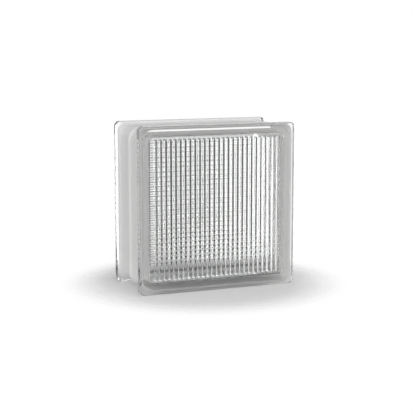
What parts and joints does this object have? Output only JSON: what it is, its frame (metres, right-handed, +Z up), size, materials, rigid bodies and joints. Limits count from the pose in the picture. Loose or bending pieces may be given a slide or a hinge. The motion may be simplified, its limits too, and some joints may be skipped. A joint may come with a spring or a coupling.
{
  "type": "hollow glass block",
  "caption": "Square hollow glass block of two fused clear pressed halves, with reeds crossing inside and a recessed waist for mortar all round.",
  "frame": {"origin": "middle of the footprint, on the surface that the block stands on", "axes": "+Z up, -Y out of the front face (upright reeds behind it), +X to the right seen from the front"},
  "size_m": [0.197, 0.098, 0.197],
  "materials": {
    "clear_glass": "clear pressed glass, fire polished faces"
  },
  "bodies": {
    "root": {"front_half": "clear_glass", "rear_half": "clear_glass"}
  },
  "joints": []
}
